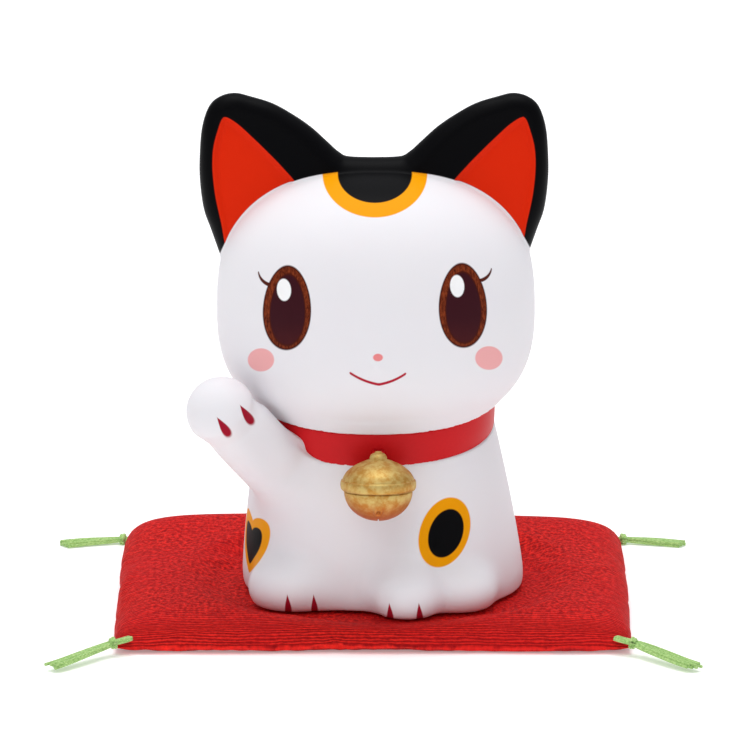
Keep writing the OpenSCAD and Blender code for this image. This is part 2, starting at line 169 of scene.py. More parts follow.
def skin_of(field, low, high, step):
    """The closed skin where field(x, y, z) is 0: a point in each lattice cell that it crosses, at the mean of
    the crossed edges and then moved down the slope onto it, and a face round each crossed lattice edge."""
    axes = [np.arange(a, b + step, step) for a, b in zip(low, high)]
    value = field(*np.meshgrid(*axes, indexing="ij", sparse=True))
    shape = tuple(n - 1 for n in value.shape)
    total, count = np.zeros(shape + (3,)), np.zeros(shape)
    inside = value < 0
    for axis in range(3):
        others = [k for k in range(3) if k != axis]
        for da in (0, 1):
            for db in (0, 1):
                cut = [slice(0, n) for n in shape]
                for k, d in zip(others, (da, db)):
                    cut[k] = slice(d, d + shape[k])
                far = list(cut)
                far[axis] = slice(1, shape[axis] + 1)
                a, b = value[tuple(cut)], value[tuple(far)]
                crossed = (a < 0) != (b < 0)
                total[..., axis] += np.where(crossed, a / np.where(crossed, a - b, 1), 0)
                total[..., others[0]] += crossed * da
                total[..., others[1]] += crossed * db
                count += crossed
    active = count > 0
    points = np.array(low) + step * (np.argwhere(active) + total[active] / count[active][:, None])
    number = np.full(shape, -1)
    number[active] = np.arange(len(points))
    faces = []
    for axis in range(3):
        others = [k for k in range(3) if k != axis]
        cut = [slice(1, n) for n in shape]
        cut[axis] = slice(0, shape[axis])
        far = list(cut)
        far[axis] = slice(1, shape[axis] + 1)
        start = inside[tuple(cut)]
        cells = np.argwhere(start != inside[tuple(far)])
        outward = start[tuple(cells.T)]
        corner = []
        for da, db in ((0, 0), (1, 0), (1, 1), (0, 1)):
            c = cells.copy()
            c[:, others[0]] += da
            c[:, others[1]] += db
            corner.append(number[tuple(c.T)])
        quads = np.stack(corner, axis=1)
        turn = outward == (axis == 1)
        quads[turn] = quads[turn][:, ::-1]
        faces.append(quads)
    for _ in range(4):
        here = field(*points.T)
        slope = slope_of(field, points)
        move = here[:, None] * slope / np.maximum((slope**2).sum(axis=1), 0.05)[:, None]
        size = np.linalg.norm(move, axis=1)[:, None]
        points = points - move * np.minimum(1, 0.5 * step / np.maximum(size, 1e-9))
    return points, np.concatenate(faces)


def slope_of(field, points, h=0.02):
    """The field's slope at points, from differences over a short step."""
    parts = []
    for axis in range(3):
        step = np.zeros(3)
        step[axis] = h
        parts.append((field(*(points + step).T) - field(*(points - step).T)) / (2 * h))
    return np.stack(parts, axis=1)


def catmull_rom(a, b, c, d, steps):
    """Points from each b to its c, on the cubic of t from 0 to 1 that passes b and c with the slopes
    (c - a) / 2 and (d - b) / 2."""
    t = (np.arange(steps) / steps)[None, :, None]
    curve = 0.5 * (2 * b + (c - a) * t + (2 * a - 5 * b + 4 * c - d) * t**2 + (3 * b - 3 * c + d - a) * t**3)
    return curve.reshape(-1, 2)


def closed_curve(knots, steps=8):
    """A smooth closed curve through its knots."""
    p = np.asarray(knots, dtype=float)
    return catmull_rom(*(np.roll(p, k, axis=0)[:, None, :] for k in (1, 0, -1, -2)), steps)


def flat_distance(outline, low, high, step=0.4):
    """A function of two coordinates giving the signed distance to a closed outline, less than 0 inside,
    read from a table by straight interpolation."""
    u = np.arange(low[0], high[0] + step, step)
    v = np.arange(low[1], high[1] + step, step)
    q = np.stack(np.meshgrid(u, v, indexing="ij"), axis=-1).reshape(-1, 1, 2)
    a, b = outline[None], np.roll(outline, -1, axis=0)[None]
    edge = b - a
    share = np.clip(((q - a) * edge).sum(-1) / (edge**2).sum(-1), 0, 1)
    away = np.linalg.norm(q - a - share[..., None] * edge, axis=-1).min(axis=1)
    spans = (a[..., 1] > q[..., 1]) != (b[..., 1] > q[..., 1])
    height = np.where(edge[..., 1] == 0, 1, edge[..., 1])
    crossing = a[..., 0] + (q[..., 1] - a[..., 1]) * edge[..., 0] / height
    odd = (spans & (q[..., 0] < crossing)).sum(axis=1) % 2 == 1
    table = np.where(odd, -away, away).reshape(len(u), len(v))

    def read(x, y):
        s = np.clip((x - low[0]) / step, 0, len(u) - 1.001)
        t = np.clip((y - low[1]) / step, 0, len(v) - 1.001)
        i, j = s.astype(int), t.astype(int)
        s, t = s - i, t - j
        near = table[i, j] * (1 - s) + table[i + 1, j] * s
        far = table[i, j + 1] * (1 - s) + table[i + 1, j + 1] * s
        return near * (1 - t) + far * t

    return read


# ---------------------------------------------------------------- materials


def tone(r, g, b):
    """A screen colour of 0 to 255 as the linear colour that a shader takes."""
    c = np.array([r, g, b]) / 255.0
    return tuple(np.where(c <= 0.04045, c / 12.92, ((c + 0.055) / 1.055) ** 2.4)) + (1.0,)


class Finish:
    """A material's nodes, with short calls for its sums and masks."""

    def __init__(self, name, **sockets):
        self.material = bpy.data.materials.new(name)
        self.material.use_nodes = True
        self.tree = self.material.node_tree
        self.shader = self.tree.nodes["Principled BSDF"]
        for key, value in sockets.items():
            self.shader.inputs[key.replace("_", " ")].default_value = value

    def node(self, kind, inputs=(), **settings):
        made = self.tree.nodes.new(kind)
        for key, value in settings.items():
            setattr(made, key, value)
        for key, value in dict(inputs).items():
            self.give(made.inputs[key], value)
        return made

    def give(self, socket, value):
        if isinstance(value, bpy.types.NodeSocket):
            self.tree.links.new(value, socket)
        else:
            socket.default_value = value

    def sum(self, operation, *values):
        return self.node("ShaderNodeMath", enumerate(values), operation=operation).outputs[0]

    def mix(self, share, a, b):
        made = self.node("ShaderNodeMix", data_type="RGBA")
        for key, value in zip((0, 6, 7), (share, a, b)):
            self.give(made.inputs[key], value)
        return made.outputs[2]

    def edge(self, value, low, high):
        """0 below low and 1 above high, smooth between."""
        made = self.node("ShaderNodeMapRange", {0: value, 1: low, 2: high}, interpolation_type="SMOOTHSTEP")
        return made.outputs[0]

    def attribute(self, name):
        return self.node("ShaderNodeAttribute", attribute_name=name)

    def parts(self, vector):
        return self.node("ShaderNodeSeparateXYZ", {0: vector}).outputs

    def place(self):
        """Object coordinates in mm."""
        where = self.node("ShaderNodeTexCoord").outputs["Object"]
        return self.node("ShaderNodeVectorMath", {0: where, 3: MM}, operation="SCALE").outputs[0]

    def noise(self, vector, scale, detail=3.0, roughness=0.5):
        inputs = {"Vector": vector, "Scale": scale, "Detail": detail, "Roughness": roughness}
        return self.node("ShaderNodeTexNoise", inputs).outputs[0]

    def stretch(self, vector, x, y, z):
        return self.node("ShaderNodeVectorMath", {0: vector, 1: (x, y, z)}, operation="MULTIPLY").outputs[0]

    def colour(self, socket):
        self.give(self.shader.inputs["Base Color"], socket)

    def rough(self, socket):
        self.give(self.shader.inputs["Roughness"], socket)

    def bump(self, height, strength, depth_mm):
        inputs = {"Height": height, "Strength": strength, "Distance": depth_mm / MM}
        self.give(self.shader.inputs["Normal"], self.node("ShaderNodeBump", inputs).outputs[0])

    def oval(self, x, y, at, half, tilt=0.0, taper=0.0):
        """Distance inside an oval in mm, more than 0 inside; taper narrows its top and widens its foot."""
        c, s = np.cos(np.radians(tilt)), np.sin(np.radians(tilt))
        dx, dy = self.sum("SUBTRACT", x, at[0]), self.sum("SUBTRACT", y, at[1])
        u = self.sum("ADD", self.sum("MULTIPLY", dx, c / half[0]), self.sum("MULTIPLY", dy, s / half[0]))
        v = self.sum("SUBTRACT", self.sum("MULTIPLY", dy, c / half[1]), self.sum("MULTIPLY", dx, s / half[1]))
        if taper:
            u = self.sum("DIVIDE", u, self.sum("SUBTRACT", 1.0, self.sum("MULTIPLY", v, taper)))
        radius = self.sum("SQRT", self.sum("ADD", self.sum("MULTIPLY", u, u), self.sum("MULTIPLY", v, v)))
        return self.sum("MULTIPLY", self.sum("SUBTRACT", 1.0, radius), min(half))

    def facing(self, inside, front):
        """A mask kept to where the surface looks to the front."""
        return self.sum("MINIMUM", inside, self.sum("MULTIPLY", front, 4.0))

    def stroke(self, x, y, start, end, bend, wide, fine):
        """Distance inside a curved stroke from start to end, bowed sideways by bend, wide at its start and
        fine at its end."""
        start, end = np.array(start), np.array(end)
        along = (end - start) / np.linalg.norm(end - start)
        length = float(np.linalg.norm(end - start))
        dx, dy = self.sum("SUBTRACT", x, start[0]), self.sum("SUBTRACT", y, start[1])
        s = self.sum("MULTIPLY", dx, along[0] / length)
        s = self.sum("ADD", s, self.sum("MULTIPLY", dy, along[1] / length))
        t = self.sum("SUBTRACT", self.sum("MULTIPLY", dy, along[0]), self.sum("MULTIPLY", dx, along[1]))
        bow = self.sum("MULTIPLY", self.sum("MULTIPLY", s, self.sum("SUBTRACT", 1.0, s)), 4 * bend)
        off = self.sum("ABSOLUTE", self.sum("SUBTRACT", t, bow))
        half = self.sum("ADD", wide, self.sum("MULTIPLY", s, fine - wide))
        past = self.sum("MAXIMUM", self.sum("SUBTRACT", s, 1.0), self.sum("MULTIPLY", s, -1.0))
        past = self.sum("MULTIPLY", past, length)
        return self.sum("SUBTRACT", self.sum("SUBTRACT", half, off), self.sum("MAXIMUM", past, 0.0))


# The paints are spread on satin white vinyl
WHITE = tone(238, 236, 238)
BLACK = tone(5, 5, 7)
EAR_RED = tone(226, 42, 8)
ORANGE = tone(242, 160, 4)
BLUSH = tone(240, 174, 174)
PINK = tone(238, 140, 140)
LINE_RED = tone(178, 24, 48)
CLAW_RED = tone(160, 22, 44)
EYE_LINE = tone(72, 24, 16)
EYE_DARK = tone(58, 20, 28)
EYE_LIGHT = tone(250, 250, 250)
SOFT = 0.12  # half width of a painted edge
RIDGE_PITCH = 0.88


def painted(finish, base, layers):
    """Lays masks of distance in mm over a base colour, each with its colour."""
    for inside, colour in layers:
        base = finish.mix(finish.edge(inside, -SOFT, SOFT), base, colour)
    return base


def vinyl(name):
    """Satin white vinyl with the faint grain of sprayed paint, and its stencil coordinates."""
    soft = {"Subsurface_Weight": 0.06, "Subsurface_Scale": 0.003, "Subsurface_Radius": (1.0, 0.6, 0.5)}
    f = Finish(name, Specular_IOR_Level=0.05, **soft)
    place = f.place()
    grain = f.noise(place, 2.2, 4.0, 0.6)
    broad = f.noise(place, 0.06, 2.0)
    f.rough(f.sum("ADD", 0.4, f.sum("MULTIPLY", grain, 0.12)))
    f.bump(grain, 0.25, 0.03)
    base = f.mix(f.sum("MULTIPLY", broad, 0.5), WHITE, tone(232, 228, 234))
    marks = f.parts(f.attribute("stencil").outputs["Vector"])
    return f, base, marks


def eye(f, x, y, at, glint, lash):
    """A painted eye: a lash, a thin dark outline, a brown rim, a dark middle lighter at its foot, a glint."""
    side = 1 if at[0] > 0 else -1
    whole = f.oval(x, y, at, (5.12, 9.05), 1.5 * side, 0.09)
    inner = f.oval(x, y, (at[0] + 0.12, at[1] - 0.45), (3.62, 7.35), 1.5 * side, 0.1)
    brush = f.noise(f.stretch(f.place(), 2.5, 1.0, 0.8), 1.0, 4.0, 0.7)
    rim = f.mix(f.edge(brush, 0.3, 0.7), tone(70, 20, 8), tone(138, 60, 30))
    foot = f.edge(f.sum("SUBTRACT", at[1], y), 2.0, 8.5)
    warm = f.sum("MULTIPLY", foot, f.sum("ADD", 0.1, f.sum("MULTIPLY", brush, 0.5)))
    dark = f.mix(warm, EYE_DARK, tone(88, 32, 30))
    start, end, bend = lash
    return [
        (f.stroke(x, y, start, end, bend, 0.46, 0.14), tone(84, 34, 26)),
        (whole, EYE_LINE),
        (f.sum("SUBTRACT", whole, 0.24), rim),
        (f.sum("ADD", inner, 0.2), EYE_LINE),
        (inner, dark),
        (f.oval(x, y, glint, (1.5, 2.35), 4.0), EYE_LIGHT),
    ]


def head_finish():
    f, base, (x, y, front) = vinyl("head_paint")
    off = f.attribute("off_skull").outputs["Fac"]
    red = f.attribute("inner_ear").outputs["Fac"]
    patch = f.oval(x, y, (0.3, 42.5), (11.15, 9.3))
    patch_in = f.oval(x, y, (0.3, 42.5), (7.9, 6.2))
    layers = [
        (f.facing(patch, front), ORANGE),
        (f.facing(patch_in, front), BLACK),
        (f.sum("SUBTRACT", off, 0.45), BLACK),
        (f.sum("MINIMUM", red, f.sum("SUBTRACT", off, 0.45)), EAR_RED),
    ]
    face = eye(f, x, y, (-18.4, 14.0), (-19.05, 17.8), ((-22.2, 18.9), (-24.5, 21.6), 0.5))
    face += eye(f, x, y, (19.0, 14.5), (17.8, 18.6), ((22.8, 19.8), (25.1, 22.3), -0.5))
    face += [
        (f.oval(x, y, (-23.95, 2.9), (2.8, 2.45)), BLUSH),
        (f.oval(x, y, (24.55, 3.3), (2.9, 2.5)), BLUSH),
        (f.oval(x, y, (0.95, 3.4), (1.05, 0.8)), PINK),
        (f.stroke(x, y, (1.15, -2.35), (-4.95, 0.1), 0.35, 0.29, 0.24), LINE_RED),
        (f.stroke(x, y, (1.1, -2.35), (6.8, -0.05), -0.35, 0.29, 0.24), LINE_RED),
    ]
    layers += [(f.facing(inside, front), colour) for inside, colour in face]
    f.colour(painted(f, base, layers))
    return f.material


def body_finish():
    f, base, (x, y, front) = vinyl("body_paint")
    heart = f.attribute("heart").outputs["Fac"]
    spot = f.oval(x, y, (15.1, -33.8), (5.2, 7.7), -20.0)
    spot_in = f.oval(x, y, (15.4, -34.0), (3.55, 5.35), -20.0)
    layers = [(f.facing(spot, front), ORANGE), (f.facing(spot_in, front), BLACK)]
    layers += [(heart, ORANGE), (f.attribute("heart_middle").outputs["Fac"], BLACK)]
    for at in ((-31.9, -11.4), (-27.0, -8.8)):
        layers.append((f.facing(f.oval(x, y, at, (0.78, 2.45), 34.0, 0.72), front), CLAW_RED))
    for at in ((-18.2, -49.3), (-12.6, -49.3), (3.5, -51.1), (9.8, -51.1)):
        layers.append((f.facing(f.oval(x, y, at, (0.6, 2.2), 4.0, 0.75), front), CLAW_RED))
    f.colour(painted(f, base, layers))
    return f.material


def band_finish():
    f = Finish("collar_red", Specular_IOR_Level=0.15)
    place = f.place()
    grain = f.noise(place, 1.6, 4.0, 0.6)
    f.colour(f.mix(grain, tone(200, 16, 24), tone(212, 24, 30)))
    f.rough(f.sum("ADD", 0.36, f.sum("MULTIPLY", grain, 0.14)))
    f.bump(grain, 0.2, 0.03)
    return f.material


def gold_finish():
    """Mottled gold paint: pale worn highs and warm lows, and a painted reflection of the red cushion that
    makes the underside redder.
    """
    f = Finish("gold_paint", Metallic=0.72, Specular_IOR_Level=0.5)
    place = f.place()
    blotch = f.noise(place, 0.55, 5.0, 0.65)
    grain = f.noise(place, 3.0, 3.0, 0.6)
    pale = f.mix(f.edge(blotch, 0.35, 0.65), tone(190, 138, 58), tone(212, 186, 114))
    z = f.parts(place)[2]
    ball = float(JOINTS["pellet_roll"]["pos_m"][2]) * MM
    # painted reflection of the red cushion: the gold turns redder below the pellet's height, with a ragged
    # edge from the blotches
    low = f.edge(f.sum("SUBTRACT", ball, f.sum("ADD", z, f.sum("MULTIPLY", blotch, 3.0))), -1.0, 5.0)
    f.colour(f.mix(low, pale, tone(190, 98, 40)))
    f.rough(f.sum("ADD", 0.4, f.sum("MULTIPLY", blotch, 0.25)))
    f.bump(f.sum("ADD", f.sum("MULTIPLY", blotch, 0.7), f.sum("MULTIPLY", grain, 0.3)), 0.5, 0.12)
    return f.material


def crepe_finish():
    """Red crepe: wavy ridges along the cushion's width, broken up on top, with a silky sheen; the ridge tops
    are painted lighter as painted highlights and the grooves darker as painted shade.
    """
    sheen = {"Sheen_Weight": 0.04, "Sheen_Roughness": 0.4, "Sheen_Tint": tone(255, 120, 110)}
    f = Finish("crepe_red", Specular_IOR_Level=0.1, **sheen)
    weft = f.attribute("weft").outputs["Vector"]
    _, along, flat = f.parts(weft)
    warp = f.noise(f.stretch(weft, 0.12, 0.35, 0.0), 1.0, 2.0)
    fine = f.noise(f.stretch(weft, 0.45, 1.1, 0.0), 1.0, 2.0)
    wave = f.sum("ADD", f.sum("MULTIPLY", warp, 7.0), f.sum("MULTIPLY", fine, 4.5))
    ridge = f.sum("SINE", f.sum("ADD", f.sum("MULTIPLY", along, 2 * np.pi / RIDGE_PITCH), wave))
    pebble = f.noise(f.stretch(weft, 1.15, 0.85, 1.0), 1.0, 3.0, 0.6)
    pebble = f.sum("MULTIPLY", f.sum("SUBTRACT", pebble, 0.5), 6.0)
    on_top = f.sum("MULTIPLY", flat, 0.5)
    ridge = f.sum("MULTIPLY", ridge, f.sum("SUBTRACT", 0.7, on_top))
    relief = f.sum("ADD", ridge, f.sum("MULTIPLY", pebble, f.sum("ADD", 0.35, on_top)))
    # the relief also sets the colour: painted highlights on the ridge tops and painted shade in the grooves;
    # the same mask sets the roughness and the bump
    high = f.edge(relief, -1.2, 1.4)
    worn = f.noise(weft, 0.05, 3.0)
    base = f.mix(high, tone(138, 2, 10), tone(252, 40, 30))
    f.colour(f.mix(f.sum("MULTIPLY", f.edge(worn, 0.35, 0.7), 0.3), base, tone(200, 12, 24)))
    f.rough(f.sum("SUBTRACT", 0.72, f.sum("MULTIPLY", high, 0.16)))
    f.bump(high, 0.8, 0.4)
    return f.material


def yarn_finish():
    f = Finish("yarn_green", Specular_IOR_Level=0.2, Sheen_Weight=0.25)
    place = f.place()
    fibre = f.noise(f.stretch(place, 2.0, 2.0, 5.0), 1.0, 4.0, 0.7)
    f.colour(f.mix(f.edge(fibre, 0.3, 0.7), tone(122, 176, 82), tone(198, 228, 150)))
    f.rough(f.sum("ADD", 0.65, f.sum("MULTIPLY", fibre, 0.2)))
    f.bump(fibre, 0.5, 0.1)
    return f.material


# ---------------------------------------------------------------- neck

NECK = np.array(JOINTS["head_turn"]["pos_m"]) * MM
NECK_UP = np.array(JOINTS["head_turn"]["axis"])
NECK_BACK = np.cross(NECK_UP, [1.0, 0, 0])
NECK_HALF = (24.7, 22.4)
PLAN_POWER = 2.3
BAND_H = 6.4
BAND_T = 1.7
BAND_TOP, BAND_FOOT = BAND_H + 0.3, -0.45  # the band's edges as they show


def plan_radius(a, w, d):
    """Radius of the superellipse |x / w|^p + |y / d|^p = 1 at an angle from -Y towards +X."""
    x, y = np.abs(np.sin(a)) / w, np.abs(np.cos(a)) / d
    return (x**PLAN_POWER + y**PLAN_POWER) ** (-1 / PLAN_POWER)


def in_neck(x, y, z):
    """Coordinates in the neck's leaning frame: across, back and up."""
    dx, dy, dz = x - NECK[0], y - NECK[1], z - NECK[2]
    return dx, dy * NECK_BACK[1] + dz * NECK_BACK[2], dy * NECK_UP[1] + dz * NECK_UP[2]


def neck_distance(nx, ny, more):
    """Distance outside the neck's outline grown by more, in the neck's frame."""
    return np.hypot(nx, ny) - plan_radius(np.arctan2(nx, -ny), NECK_HALF[0] + more, NECK_HALF[1] + more)


# ---------------------------------------------------------------- head

HEAD_UP, HEAD_BACK = 25.0, 2.2  # the head's middle from the neck
HEAD = NECK + NECK_UP * HEAD_UP + np.array([0, HEAD_BACK, 0])
HEAD_HALF = (33.4, 28.6)
DOME_UP, JAW_DOWN = 29.7, 25.6
DOME_POWER, JAW_POWER = 2.6, 2.6
MUZZLE_RISE, MUZZLE_Z, MUZZLE_HALF = 0.9, -7.6, (6.5, 4.4)
NOSE_RISE, NOSE_AT, NOSE_SPREAD = 0.55, (0.2, -5.4), 2.6
CHIN_OUT, CHIN_ABOVE, CHIN_GAP = 0.5, 2.0, 0.08  # the chin's skirt, against the band under it

# The ear plate: its place, its half thickness at the skull and how much less it is at the tips, the heights
# over which it thins, its rim as a share of the half thickness, and the inner ears' depth and soft edge
EAR_Y, EAR_SHIFT = 1.0, 0.4
EAR_THICK, EAR_THINS, THIN_FROM, THIN_OVER = 5.2, 2.2, 18.0, 28.0
EAR_ROUND, INNER_DEEP, INNER_SOFT = 0.9, 0.75, 1.3


def to_plate(across, up):
    """The point of the ear plate, from the head's middle, that shows at a place of the stencil, found by
    three rounds from a first guess."""
    y = HEAD[1] + EAR_Y
    z = HEAD[2] + 20.0
    for _ in range(3):
        reach = DISTANCE / ((np.array([0, y, z]) - EYE) @ FORWARD)
        z = AIM[2] + (up / reach - (y - AIM[1]) * UPWARD[1]) / UPWARD[2]
    return across / reach, z - HEAD[2]


# Half of the ears' outline and of one inner ear, as they show from the front: across and up
EAR_HALF_OUTLINE = [
    (30.6, 19.6), (32.7, 25.4), (34.7, 31.0), (36.2, 35.2), (37.0, 40.9), (37.1, 46.0),
    (36.6, 52.3), (35.1, 56.8), (32.7, 58.9), (29.6, 59.6), (26.4, 58.9), (21.6, 57.4),
    (16.9, 54.8), (13.2, 52.2), (10.0, 49.3), (7.4, 47.0), (4.8, 46.0),
]
INNER_EAR = [
    (31.2, 55.2), (28.8, 53.7), (26.2, 51.4), (23.0, 48.4), (19.5, 44.9), (16.2, 41.0),
    (13.5, 35.0), (20.0, 26.0), (28.5, 22.0), (31.2, 27.0), (32.4, 33.0), (33.7, 39.0),
    (34.3, 44.6), (34.1, 49.0), (33.1, 52.8), (32.2, 55.0),
]
plate_half = np.array([to_plate(*p) for p in EAR_HALF_OUTLINE])
plate_outline = closed_curve(np.concatenate([
    plate_half, plate_half[::-1] * [-1, 1], [[-26.0, 2.0], [0.0, -4.0], [26.0, 2.0]]]))
inner_outline = closed_curve([to_plate(*p) for p in INNER_EAR])
plate_distance = flat_distance(plate_outline, (-42, -10), (42, 52))
inner_distance = flat_distance(inner_outline, (-4, -6), (42, 52))


def dome_distance(x, y, z):
    """About the distance to the superellipsoid (|x / a|^p + |y / b|^p)^(q / p) + |z / c|^q = 1, as
    r (1 - 1 / g) where r is the distance from its middle and g^q the left side, less the muzzle and the
    nose: low hills h exp(-(x / s)^2 - (z / t)^2) on its front."""
    up = z > 0
    power = np.where(up, DOME_POWER, JAW_POWER)
    flat = (np.abs(x) / HEAD_HALF[0]) ** PLAN_POWER + (np.abs(y) / HEAD_HALF[1]) ** PLAN_POWER
    gauge = flat ** (power / PLAN_POWER) + (np.abs(z) / np.where(up, DOME_UP, JAW_DOWN)) ** power
    gauge = np.maximum(gauge, 1e-6) ** (1 / power)
    radius = np.sqrt(x * x + y * y + z * z)
    hills = MUZZLE_RISE * np.exp(-((x / MUZZLE_HALF[0]) ** 2) - ((z - MUZZLE_Z) / MUZZLE_HALF[1]) ** 2)
    hills = hills + NOSE_RISE * np.exp(-((x - NOSE_AT[0]) ** 2 + (z - NOSE_AT[1]) ** 2) / NOSE_SPREAD)
    return radius * (1 - 1 / gauge) - np.where(y < 0, hills, 0)


def plate_field(x, y, z):
    """The ear plate: the flat outline with a round rim, thinner towards the tips and at the inner ears."""
    x = x + EAR_SHIFT
    thick = EAR_THICK - EAR_THINS * smooth_step((z - THIN_FROM) / THIN_OVER)
    rim = EAR_ROUND * thick
    side = plate_distance(x, z) + rim
    hollow = INNER_DEEP * smooth_step(-inner_distance(np.abs(x), z) / INNER_SOFT) * (y < EAR_Y)
    rise = np.abs(y - EAR_Y) - thick + hollow + rim
    beyond = np.hypot(np.maximum(side, 0), np.maximum(rise, 0))
    return beyond + np.minimum(np.maximum(side, rise), 0) - rim


def head_field(x, y, z):
    """The skull, the ear plate and the chin's skirt, cut off just above the band."""
    nx, ny, nz = in_neck(x, y, z)
    x, y, z = x - HEAD[0], y - HEAD[1], z - HEAD[2]
    whole = smooth_min(dome_distance(x, y, z), plate_field(x, y, z), 0.6)
    chin = np.maximum(neck_distance(nx, ny, CHIN_OUT), nz - BAND_TOP - CHIN_ABOVE)
    whole = smooth_min(whole, chin, 2.5)
    return smooth_max(whole, BAND_TOP + CHIN_GAP - nz, 0.2)


GRAIN = 0.5  # the lattice's step for the skins


def build_head():
    low, high = HEAD + [-40, -32, -30], HEAD + [40, 32, 49]
    points, faces = skin_of(head_field, low, high, GRAIN)
    head = piece("head_skin", points, faces, head_finish(), "head", ["head_shell"], "head_vinyl")
    x, y, z = (points - HEAD).T
    across, up = stencil(points)
    front = -slope_of(head_field, points)[:, 1]
    attribute(head, "stencil", np.stack([across, up, front], axis=1))
    above_chin = z > -5
    attribute(head, "off_skull", np.where(above_chin, dome_distance(x, y, z), -1.0))
    attribute(head, "inner_ear", np.where(y < EAR_Y, -inner_distance(np.abs(x + EAR_SHIFT), z), -1.0))


# ---------------------------------------------------------------- body

BASE_Z = box_mm("body_shell")[0][2]
BODY_H = 36.6
BODY_HALF = (29.9, 25.6)
HAUNCH_SHIFT = (1.6, 1.5)
BASE_ROUND = (4.5, 1.0)  # how high and how far in the foot's edge is rounded


def body_plan(x, y, z):
    """Distance outside the torso's outline at a height: a superellipse that narrows from the haunches to the
    neck and draws in at the foot."""
    level = np.clip((z - BASE_Z) / BODY_H, 0, 1)
    dx, dy = x - NECK[0] - HAUNCH_SHIFT[0] * (1 - level), y - NECK[1] - HAUNCH_SHIFT[1] * (1 - level)
    w = BODY_HALF[0] + (NECK_HALF[0] - BODY_HALF[0]) * level**1.35
    d = BODY_HALF[1] + (NECK_HALF[1] - BODY_HALF[1]) * level**1.2
    h = np.clip((z - BASE_Z) / BASE_ROUND[0], 0, 1)
    radius = plan_radius(np.arctan2(dx, -dy), w, d) - BASE_ROUND[1] * (1 - np.sqrt(1 - (1 - h) ** 2))
    return np.hypot(dx, dy) - radius


def ball(x, y, z, at, half):
    """About the distance to an ellipsoid: (q - 1) times its least half size, where q = 1 on it."""
    q = np.sqrt(((x - at[0]) / half[0]) ** 2 + ((y - at[1]) / half[1]) ** 2 + ((z - at[2]) / half[2]) ** 2)
    return (q - 1) * min(half)


def bundle(x, y, z, path, radii):
    """Distance to a row of tapering capsules along a path."""
    best = None
    for a, b, ra, rb in zip(path[:-1], path[1:], radii[:-1], radii[1:]):
        e = b - a
        t = np.clip(((x - a[0]) * e[0] + (y - a[1]) * e[1] + (z - a[2]) * e[2]) / (e @ e), 0, 1)
        away = np.sqrt((x - a[0] - t * e[0]) ** 2 + (y - a[1] - t * e[1]) ** 2 + (z - a[2] - t * e[2]) ** 2)
        away = away - ra - (rb - ra) * t
        best = away if best is None else np.minimum(best, away)
    return best


def cheek_reach(direction):
    """How far the head's surface lies from its middle in a downward direction."""
    x, y, z = np.abs(direction)
    flat = (x / HEAD_HALF[0]) ** PLAN_POWER + (y / HEAD_HALF[1]) ** PLAN_POWER
    return (flat ** (JAW_POWER / PLAN_POWER) + (z / JAW_DOWN) ** JAW_POWER) ** (-1 / JAW_POWER)


PAW_R, ARM_R, SHOULDER_MORE, PAW_CLEAR = 7.3, 6.1, 2.6, 1.9
PAW_DIR = np.array([-0.757, -0.515, -0.4])
PAW_DIR /= np.linalg.norm(PAW_DIR)
PAW = HEAD + PAW_DIR * (cheek_reach(PAW_DIR) + PAW_R + PAW_CLEAR)
SHOULDER = NECK + [-0.46 * NECK_HALF[0], -0.34 * NECK_HALF[1], -13.0]
ELBOW = NECK + [-0.89 * NECK_HALF[0], -0.74 * NECK_HALF[1], -9.6]
arm_t = np.linspace(0, 1, 11)[:, None]
ARM_PATH = (1 - arm_t) ** 2 * SHOULDER + 2 * arm_t * (1 - arm_t) * ELBOW + arm_t**2 * PAW
ARM_RADII = ARM_R + SHOULDER_MORE * (1 - smooth_step(arm_t[:, 0] / 0.7))
ARM_RADII[-1] = PAW_R
WEB_PATH, WEB_RADII = np.array([[-24.5, -29.5, 46.8], [-19.0, -27.0, 40.0]]), [3.4, 3.4]  # fills the elbow

FORELEG = np.array([[6.0, -24.5, 27.0], [6.8, -27.8, 17.0], [7.1, -30.4, 10.2]])
FORELEG_RADII = [4.0, 5.6, 6.6]
# Middle and half sizes of the resting paw and of each foot
REST_PAW = (7.1, -31.0, BASE_Z + 4.6), (7.5, 6.6, 6.6)
RIGHT_FOOT = (-16.6, -23.6, BASE_Z + 4.2), (9.6, 8.2, 7.2)
LEFT_FOOT = (17.8, -25.6, BASE_Z + 3.8), (8.2, 7.0, 6.0)
STUB_IN, STUB_UP, SHOULDER_DOWN = 1.0, 2.2, 0.2  # the stub inside the band, and the shoulders' edge under it


def body_field(x, y, z):
    """The torso with its neck stub, the resting foreleg and paw, the feet and the raised arm."""
    nx, ny, nz = in_neck(x, y, z)
    torso = smooth_max(body_plan(x, y, z), BASE_Z - z, 1.0)
    torso = np.maximum(torso, np.minimum(nz + SHOULDER_DOWN, neck_distance(nx, ny, -STUB_IN)))
    torso = smooth_max(torso, nz - STUB_UP, 0.4)
    leg = smooth_min(bundle(x, y, z, FORELEG, FORELEG_RADII), ball(x, y, z, *REST_PAW), 2.0)
    feet = smooth_min(ball(x, y, z, *RIGHT_FOOT), ball(x, y, z, *LEFT_FOOT), 0.5)
    low = smooth_min(smooth_min(torso, leg, 3.4), feet, 3.2)
    low = smooth_max(low, BASE_Z - z, 1.2)
    arm = smooth_min(bundle(x, y, z, ARM_PATH, ARM_RADII), bundle(x, y, z, WEB_PATH, WEB_RADII), 3.0)
    return smooth_min(low, arm, 5.5)


